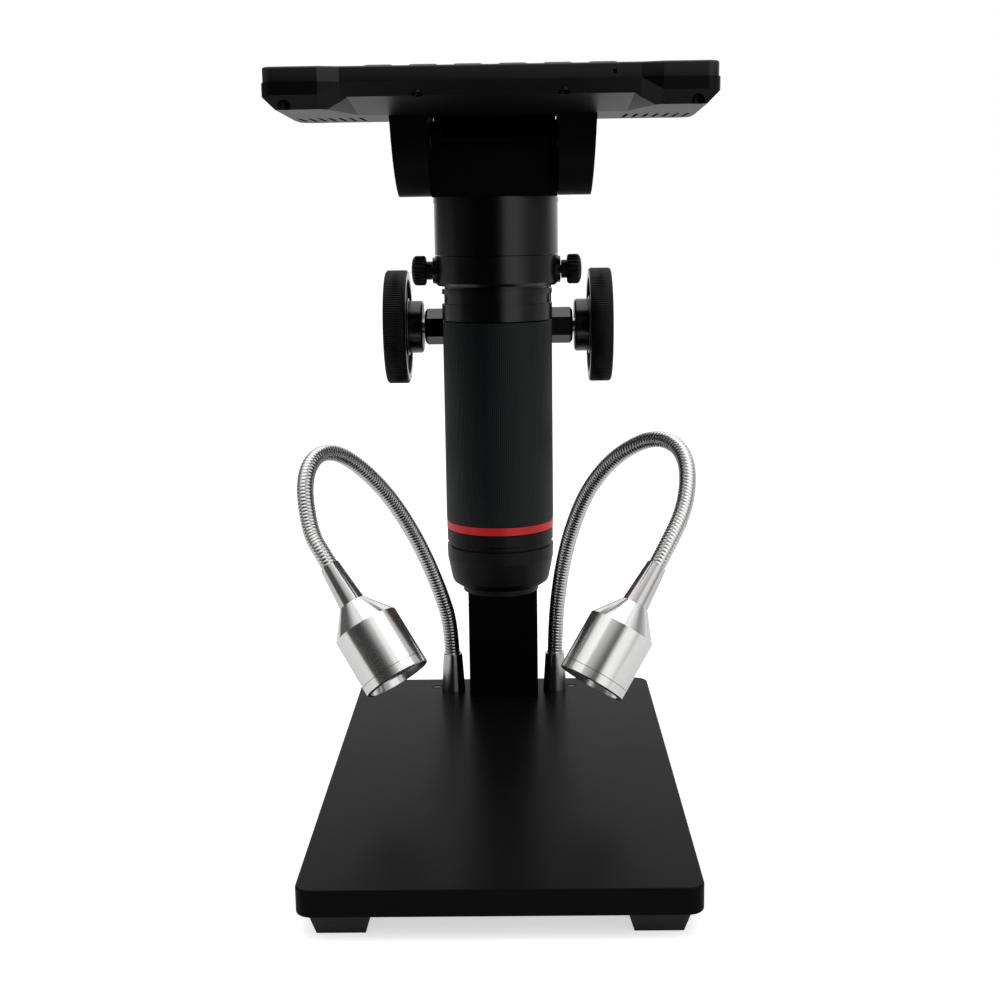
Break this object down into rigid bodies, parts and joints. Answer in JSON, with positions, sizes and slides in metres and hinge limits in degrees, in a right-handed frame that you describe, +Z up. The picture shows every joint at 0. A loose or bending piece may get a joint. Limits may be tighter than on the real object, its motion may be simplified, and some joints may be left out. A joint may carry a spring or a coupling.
{
  "type": "lcd digital microscope",
  "caption": "Stand microscope with a tilting screen on a focusing tube, a rack-and-pinion column on a flat stage, and two lamps on goosenecks.",
  "frame": {"origin": "middle of the stage's footprint, on the surface that the feet stand on", "axes": "+X to the user's right, +Y away from the user towards the column, +Z up"},
  "size_m": [0.145, 0.2008, 0.2536],
  "materials": {
    "stage_paint": "satin black paint",
    "foot_rubber": "matt",
    "screw_steel": "zinc plated",
    "black_screw": "black oxide",
    "column_black": "black anodised",
    "rack_steel": "oiled",
    "carriage_black": "black anodised",
    "bush_brass": "turned",
    "dark_chrome": "polished dark",
    "shaft_steel": "ground",
    "knob_black": "fine straight knurl",
    "tube_black": "satin black anodised",
    "grip_slate": "dark slate, fine straight knurl",
    "ring_red": "red anodised",
    "circuit_green": "solder mask",
    "lens_glass": "coated",
    "lens_black": "black anodised",
    "shell_black": "fine satin moulding",
    "ear_black": "satin moulding",
    "screen_glass": "polished dark screen",
    "button_black": "satin",
    "port_metal": "nickel",
    "gooseneck_steel": "wound, bright",
    "lamp_aluminium": "turned, bright",
    "lamp_lens_clear": "clear",
    "reflector_bright": "mirror bright"
  },
  "bodies": {
    "stand": {"base_plate": "stage_paint", "feet": "foot_rubber", "base_screws": "screw_steel", "stage_plugs": "black_screw", "column": "column_black", "rack": "rack_steel", "lamp_ferrules": "lamp_aluminium", "ferrule_nuts": "screw_steel"},
    "carriage": {"focus_block": "carriage_black", "ring_holder": "carriage_black", "holder_screws": "black_screw", "shaft_bushes": "bush_brass", "tension_collars": "dark_chrome"},
    "focus_drive": {"drive_pinion": "bush_brass", "pinion_shaft": "shaft_steel", "knob_hubs": "dark_chrome", "focus_knobs": "knob_black"},
    "clamp_left": {"thumbscrew_left": "black_screw"},
    "clamp_right": {"thumbscrew_right": "black_screw"},
    "microscope": {"neck": "tube_black", "barrel_tube": "tube_black", "barrel_collar": "tube_black", "barrel_nose": "tube_black", "filter_ring": "tube_black", "sensor_board": "circuit_green", "head_block": "ear_black", "head_cover": "ear_black", "cover_screws": "black_screw", "hinge_pins": "screw_steel"},
    "grip": {"focus_grip": "grip_slate", "red_ring": "ring_red"},
    "lens_unit": {"lens_cell": "lens_black", "lens_elements": "lens_glass"},
    "monitor": {"hinge_ears": "ear_black", "ear_screws": "screw_steel", "monitor_back": "shell_black", "monitor_bezel": "shell_black", "lcd_panel": "screen_glass", "circuit_boards": "circuit_green", "io_ports": "port_metal", "monitor_screws": "black_screw"},
    "key_1": {"button_1": "button_black"},
    "key_2": {"button_2": "button_black"},
    "key_3": {"button_3": "button_black"},
    "key_4": {"button_4": "button_black"},
    "key_5": {"button_5": "button_black"},
    "key_6": {"button_6": "button_black"},
    "lamp_arm_left": {"gooseneck_left": "gooseneck_steel"},
    "lamp_head_left": {"lamp_bezel_left": "lamp_aluminium", "lamp_lens_left": "lamp_lens_clear", "lamp_led_left": "reflector_bright", "lamp_shell_left": "lamp_aluminium", "lamp_sleeve_left": "lamp_aluminium"},
    "lamp_arm_right": {"gooseneck_right": "gooseneck_steel"},
    "lamp_head_right": {"lamp_bezel_right": "lamp_aluminium", "lamp_lens_right": "lamp_lens_clear", "lamp_led_right": "reflector_bright", "lamp_shell_right": "lamp_aluminium", "lamp_sleeve_right": "lamp_aluminium"}
  },
  "joints": [
    {"name": "carriage_slide", "type": "slide", "parent": "stand", "child": "carriage", "axis": [0, 0, 1], "range_m": [-0.025, 0.02]},
    {"name": "focus_turn", "type": "hinge", "parent": "carriage", "child": "focus_drive", "pos_m": [0, 0.0698, 0.1671], "axis": [1, 0, 0], "range_deg": [-192, 240]},
    {"name": "clamp_turn_left", "type": "hinge", "parent": "carriage", "child": "clamp_left", "pos_m": [-0.028, 0.03, 0.1896], "axis": [-1, 0, 0], "range_deg": [0, 720]},
    {"name": "clamp_turn_right", "type": "hinge", "parent": "carriage", "child": "clamp_right", "pos_m": [0.028, 0.03, 0.1896], "axis": [1, 0, 0], "range_deg": [0, 720]},
    {"name": "microscope_swivel", "type": "hinge", "parent": "carriage", "child": "microscope", "pos_m": [0, 0.03, 0.195], "axis": [0, 0, 1], "range_deg": [-45, 45]},
    {"name": "grip_turn", "type": "hinge", "parent": "microscope", "child": "grip", "pos_m": [0, 0.03, 0.135], "axis": [0, 0, 1], "range_deg": [-90.5, 90.5]},
    {"name": "lens_slide", "type": "slide", "parent": "microscope", "child": "lens_unit", "axis": [0, 0, 1], "range_m": [-0.006, 0.006]},
    {"name": "monitor_tilt", "type": "hinge", "parent": "microscope", "child": "monitor", "pos_m": [0, 0.0145, 0.234], "axis": [1, 0, 0], "range_deg": [-1.2, 83.8]},
    {"name": "key_press_1", "type": "slide", "parent": "monitor", "child": "key_1", "axis": [0, -0.0209, 0.9998], "range_m": [-0.0004, 0], "stiffness_N_per_m": 1200, "springref_m": 0.0002},
    {"name": "key_press_2", "type": "slide", "parent": "monitor", "child": "key_2", "axis": [0, -0.0209, 0.9998], "range_m": [-0.0004, 0], "stiffness_N_per_m": 1200, "springref_m": 0.0002},
    {"name": "key_press_3", "type": "slide", "parent": "monitor", "child": "key_3", "axis": [0, -0.0209, 0.9998], "range_m": [-0.0004, 0], "stiffness_N_per_m": 1200, "springref_m": 0.0002},
    {"name": "key_press_4", "type": "slide", "parent": "monitor", "child": "key_4", "axis": [0, -0.0209, 0.9998], "range_m": [-0.0004, 0], "stiffness_N_per_m": 1200, "springref_m": 0.0002},
    {"name": "key_press_5", "type": "slide", "parent": "monitor", "child": "key_5", "axis": [0, -0.0209, 0.9998], "range_m": [-0.0004, 0], "stiffness_N_per_m": 1200, "springref_m": 0.0002},
    {"name": "key_press_6", "type": "slide", "parent": "monitor", "child": "key_6", "axis": [0, -0.0209, 0.9998], "range_m": [-0.0004, 0], "stiffness_N_per_m": 1200, "springref_m": 0.0002},
    {"name": "lamp_swing_left", "type": "hinge", "parent": "stand", "child": "lamp_arm_left", "pos_m": [-0.021, 0.085, 0.032], "axis": [0, 0, 1], "range_deg": [-60, 5]},
    {"name": "lamp_aim_left", "type": "hinge", "parent": "lamp_arm_left", "child": "lamp_head_left", "pos_m": [-0.06266, 0.00961, 0.09112], "axis": [-0.5618, -0.8273, 0], "range_deg": [-20, 20], "deforming": ["gooseneck_left"]},
    {"name": "lamp_swing_right", "type": "hinge", "parent": "stand", "child": "lamp_arm_right", "pos_m": [0.021, 0.085, 0.032], "axis": [0, 0, 1], "range_deg": [-5, 60]},
    {"name": "lamp_aim_right", "type": "hinge", "parent": "lamp_arm_right", "child": "lamp_head_right", "pos_m": [0.05735, 0.00505, 0.09105], "axis": [-0.5408, 0.8412, 0], "range_deg": [-20, 20], "deforming": ["gooseneck_right"]}
  ],
  "couplings": [
    {"joint": "focus_turn", "follows": "carriage_slide", "rad_per_m": -166.67},
    {"joint": "grip_turn", "follows": "lens_slide", "rad_per_m": 261.8}
  ]
}
